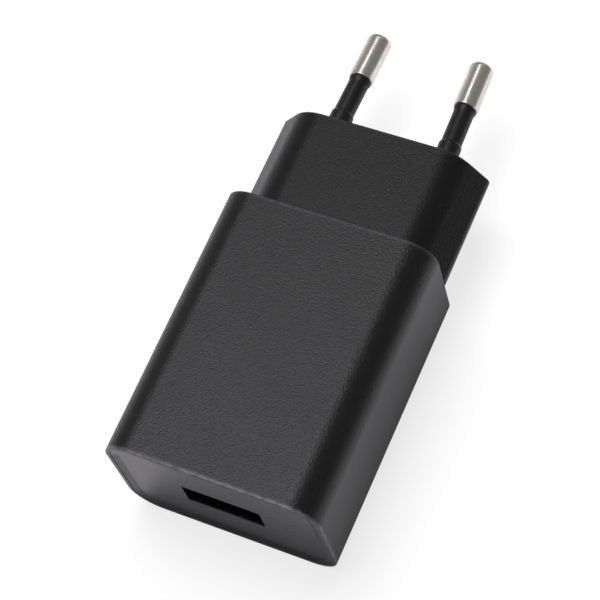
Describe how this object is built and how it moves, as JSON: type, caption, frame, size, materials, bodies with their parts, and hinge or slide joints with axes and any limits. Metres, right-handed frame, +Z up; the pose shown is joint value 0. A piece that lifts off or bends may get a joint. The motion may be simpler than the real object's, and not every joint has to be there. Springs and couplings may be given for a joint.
{
  "type": "usb wall charger",
  "caption": "Compact wall charger: rounded block housing with a USB-A port in one end and a two-pin plug nose with round pins on the other.",
  "frame": {"origin": "middle of the underside of the box round the whole charger, lying on its broad face", "axes": "+Y runs along the plug pins away from the USB port, +Z is up, +X is the width"},
  "size_m": [0.0348, 0.0818, 0.023],
  "materials": {
    "housing_plastic": "fine spark-eroded grain",
    "panel_plastic": "smooth satin",
    "nose_plastic": "fine spark-eroded grain",
    "sleeve_plastic": "smooth",
    "pin_metal": "satin nickel plate",
    "shell_metal": "satin",
    "insulator_plastic": "matte",
    "contact_gold": "gold flash",
    "strip_brass": "phosphor bronze",
    "board": "green solder mask",
    "ferrite": "sintered",
    "bobbin_plastic": "matte",
    "copper": "enamelled wire",
    "tape": "polyester film",
    "solder": "bright tin",
    "can_purple": "shrink sleeve",
    "can_green": "shrink sleeve",
    "resistor_paint": "lacquer",
    "disc_blue": "lacquer",
    "package_black": "moulded",
    "chip_tan": "ceramic",
    "fibre": "fibre sheet"
  },
  "bodies": {
    "charger": {"housing_sleeve": "housing_plastic", "front_panel": "panel_plastic", "plug_base": "nose_plastic", "pin_left": "pin_metal", "pin_right": "pin_metal", "pin_sleeve_left": "sleeve_plastic", "pin_sleeve_right": "sleeve_plastic", "pin_contact_left": "strip_brass", "pin_contact_right": "strip_brass", "circuit_board": "board", "usb_shell": "shell_metal", "usb_insulator": "insulator_plastic", "usb_contact_tails": "contact_gold", "transformer_core": "ferrite", "transformer_bobbin": "bobbin_plastic", "transformer_winding": "copper", "transformer_tape": "tape", "transformer_pins": "solder", "input_capacitor_left": "can_purple", "input_capacitor_right": "can_purple", "output_capacitor_left": "can_green", "output_capacitor_right": "can_green", "choke_core": "ferrite", "choke_winding": "copper", "fusible_resistor": "resistor_paint", "safety_capacitor": "disc_blue", "bridge_rectifier": "package_black", "controller_chip": "package_black", "output_diode": "package_black", "chip_resistors": "package_black", "chip_capacitors": "chip_tan", "insulation_barrier": "fibre", "solder_joints": "solder"},
    "usb_contact_1_leaf": {"usb_contact_1": "contact_gold"},
    "usb_contact_2_leaf": {"usb_contact_2": "contact_gold"},
    "usb_contact_3_leaf": {"usb_contact_3": "contact_gold"},
    "usb_contact_4_leaf": {"usb_contact_4": "contact_gold"}
  },
  "joints": [
    {"name": "usb_contact_1_press", "type": "hinge", "parent": "charger", "child": "usb_contact_1_leaf", "pos_m": [-0.0035, -0.0296, 0.0113], "axis": [-1, 0, 0], "range_deg": [0, 3], "stiffness_Nm_per_rad": 0.1},
    {"name": "usb_contact_2_press", "type": "hinge", "parent": "charger", "child": "usb_contact_2_leaf", "pos_m": [-0.001, -0.0296, 0.0113], "axis": [-1, 0, 0], "range_deg": [0, 3], "stiffness_Nm_per_rad": 0.1},
    {"name": "usb_contact_3_press", "type": "hinge", "parent": "charger", "child": "usb_contact_3_leaf", "pos_m": [0.001, -0.0296, 0.0113], "axis": [-1, 0, 0], "range_deg": [0, 3], "stiffness_Nm_per_rad": 0.1},
    {"name": "usb_contact_4_press", "type": "hinge", "parent": "charger", "child": "usb_contact_4_leaf", "pos_m": [0.0035, -0.0296, 0.0113], "axis": [-1, 0, 0], "range_deg": [0, 3], "stiffness_Nm_per_rad": 0.1}
  ]
}
